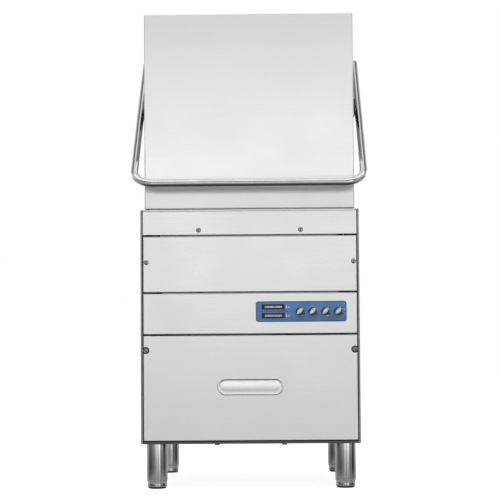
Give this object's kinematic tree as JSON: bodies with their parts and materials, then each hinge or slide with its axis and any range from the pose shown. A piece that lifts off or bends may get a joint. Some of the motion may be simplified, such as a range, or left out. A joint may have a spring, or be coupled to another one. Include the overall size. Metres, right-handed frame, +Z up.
{
  "type": "hood-type dishwasher",
  "caption": "Free-standing pass-through dishwasher: a sliding hood raised by a bent tube handle over a square cabinet with a tank, spray arms, front panels and round legs.",
  "frame": {"origin": "on the floor under the middle of the bounding box", "axes": "+Z up, +Y from the front towards the rear, +X to the right of someone facing the front"},
  "size_m": [0.684, 0.74, 1.44],
  "materials": {
    "brushed_steel": "fine horizontal brushing",
    "hood_steel": "fine satin brushing",
    "polished_tube": "polished stainless tube",
    "frame_steel": "plain mill finish",
    "plate_blue": "satin printed film",
    "gauge_black": "dark window with a light scale strip",
    "knob_steel": "satin grip on a dark skirt",
    "lock_steel": "satin head with a dark ring",
    "screw_steel": "polished dome head",
    "track_plastic": "dark blue-black slide plastic",
    "roller_plastic": "pale slide plastic",
    "switch_plastic": "moulded",
    "pump_aluminium": "cast, painted grey",
    "volute_plastic": "moulded",
    "brass": "turned",
    "outlet_plastic": "moulded grey",
    "arm_steel": "pressed and polished",
    "spring_steel": "oiled spring wire",
    "foot_steel": "satin, black pad at the floor"
  },
  "bodies": {
    "base": {"base_frame": "frame_steel", "side_panel_left": "brushed_steel", "side_panel_right": "brushed_steel", "back_panel": "brushed_steel", "top_fascia": "brushed_steel", "middle_panel": "brushed_steel", "control_panel": "brushed_steel", "lower_panel": "brushed_steel", "control_plate": "plate_blue", "thermometers": "gauge_black", "emblem": "brushed_steel", "panel_screws": "screw_steel", "rotary_switches": "switch_plastic", "wash_tank": "brushed_steel", "deck_rim": "brushed_steel", "tank_filters": "arm_steel", "rack_rails": "arm_steel", "arm_spindles": "arm_steel", "riser_pipe": "arm_steel", "pump_motor": "pump_aluminium", "pump_volute": "volute_plastic", "water_pipes": "outlet_plastic", "boiler": "frame_steel", "heating_elements": "spring_steel", "drain_pump": "volute_plastic", "water_inlet_valve": "brass", "rear_outlets": "outlet_plastic", "dosing_pumps": "switch_plastic", "electrical_box": "frame_steel", "leg_sleeves": "polished_tube", "hood_posts": "frame_steel", "splash_back": "brushed_steel", "rear_cover": "brushed_steel", "counterbalance_springs": "spring_steel"},
    "hood": {"hood_front": "hood_steel", "hood_left": "hood_steel", "hood_right": "hood_steel", "hood_top": "hood_steel", "hood_back": "hood_steel", "hood_guides": "track_plastic"},
    "handle": {"handle_tube": "polished_tube", "handle_levers": "frame_steel", "guide_rollers": "roller_plastic"},
    "wash_arm_lower": {"wash_arm_lower": "arm_steel"},
    "rinse_arm_lower": {"rinse_arm_lower": "arm_steel"},
    "wash_arm_upper": {"wash_arm_upper": "arm_steel"},
    "rinse_arm_upper": {"rinse_arm_upper": "arm_steel"},
    "impeller": {"pump_impeller": "volute_plastic"},
    "overflow": {"overflow_pipe": "arm_steel"},
    "lock_left": {"panel_lock_left": "lock_steel"},
    "lock_right": {"panel_lock_right": "lock_steel"},
    "selector_1": {"knob_1": "knob_steel"},
    "foot_1": {"foot_1": "foot_steel"},
    "selector_2": {"knob_2": "knob_steel"},
    "foot_2": {"foot_2": "foot_steel"},
    "selector_3": {"knob_3": "knob_steel"},
    "foot_3": {"foot_3": "foot_steel"},
    "selector_4": {"knob_4": "knob_steel"},
    "foot_4": {"foot_4": "foot_steel"}
  },
  "joints": [
    {"name": "hood_lift", "type": "slide", "parent": "base", "child": "hood", "axis": [0, 0, 1], "range_m": [0, 0.42], "stiffness_N_per_m": 60, "springref_m": 3.6},
    {"name": "handle_swing", "type": "hinge", "parent": "base", "child": "handle", "pos_m": [0, 0.31, 1.341], "axis": [-1, 0, 0], "range_deg": [0, 58.4], "deforming": ["counterbalance_springs"]},
    {"name": "wash_lower_spin", "type": "hinge", "parent": "base", "child": "wash_arm_lower", "pos_m": [0, 0, 0.8035], "axis": [0, 0, 1], "continuous": true},
    {"name": "rinse_lower_spin", "type": "hinge", "parent": "base", "child": "rinse_arm_lower", "pos_m": [0, 0, 0.8195], "axis": [0, 0, 1], "continuous": true},
    {"name": "wash_upper_spin", "type": "hinge", "parent": "base", "child": "wash_arm_upper", "pos_m": [0, 0, 1.2855], "axis": [0, 0, 1], "continuous": true},
    {"name": "rinse_upper_spin", "type": "hinge", "parent": "base", "child": "rinse_arm_upper", "pos_m": [0, 0, 1.2695], "axis": [0, 0, 1], "continuous": true},
    {"name": "pump_spin", "type": "hinge", "parent": "base", "child": "impeller", "pos_m": [-0.11, 0.06, 0.29], "axis": [1, 0, 0], "continuous": true},
    {"name": "overflow_lift", "type": "slide", "parent": "base", "child": "overflow", "axis": [0, 0, 1], "range_m": [0, 0.25]},
    {"name": "lock_left_turn", "type": "hinge", "parent": "base", "child": "lock_left", "pos_m": [-0.3024, -0.29, 0.401], "axis": [0, 1, 0], "range_deg": [0, 90]},
    {"name": "lock_right_turn", "type": "hinge", "parent": "base", "child": "lock_right", "pos_m": [0.3024, -0.29, 0.401], "axis": [0, 1, 0], "range_deg": [0, 90]},
    {"name": "selector_1_turn", "type": "hinge", "parent": "base", "child": "selector_1", "pos_m": [0.1436, -0.291, 0.511], "axis": [0, 1, 0], "range_deg": [0, 90]},
    {"name": "selector_2_turn", "type": "hinge", "parent": "base", "child": "selector_2", "pos_m": [0.1807, -0.291, 0.511], "axis": [0, 1, 0], "range_deg": [0, 90]},
    {"name": "selector_3_turn", "type": "hinge", "parent": "base", "child": "selector_3", "pos_m": [0.2178, -0.291, 0.511], "axis": [0, 1, 0], "range_deg": [0, 90]},
    {"name": "selector_4_turn", "type": "hinge", "parent": "base", "child": "selector_4", "pos_m": [0.2549, -0.291, 0.511], "axis": [0, 1, 0], "range_deg": [0, 90]},
    {"name": "foot_1_extend", "type": "slide", "parent": "base", "child": "foot_1", "axis": [0, 0, -1], "range_m": [0, 0.03]},
    {"name": "foot_2_extend", "type": "slide", "parent": "base", "child": "foot_2", "axis": [0, 0, -1], "range_m": [0, 0.03]},
    {"name": "foot_3_extend", "type": "slide", "parent": "base", "child": "foot_3", "axis": [0, 0, -1], "range_m": [0, 0.03]},
    {"name": "foot_4_extend", "type": "slide", "parent": "base", "child": "foot_4", "axis": [0, 0, -1], "range_m": [0, 0.03]}
  ],
  "couplings": [
    {"joint": "handle_swing", "follows": "hood_lift", "rad_per_m": 2.4255}
  ]
}
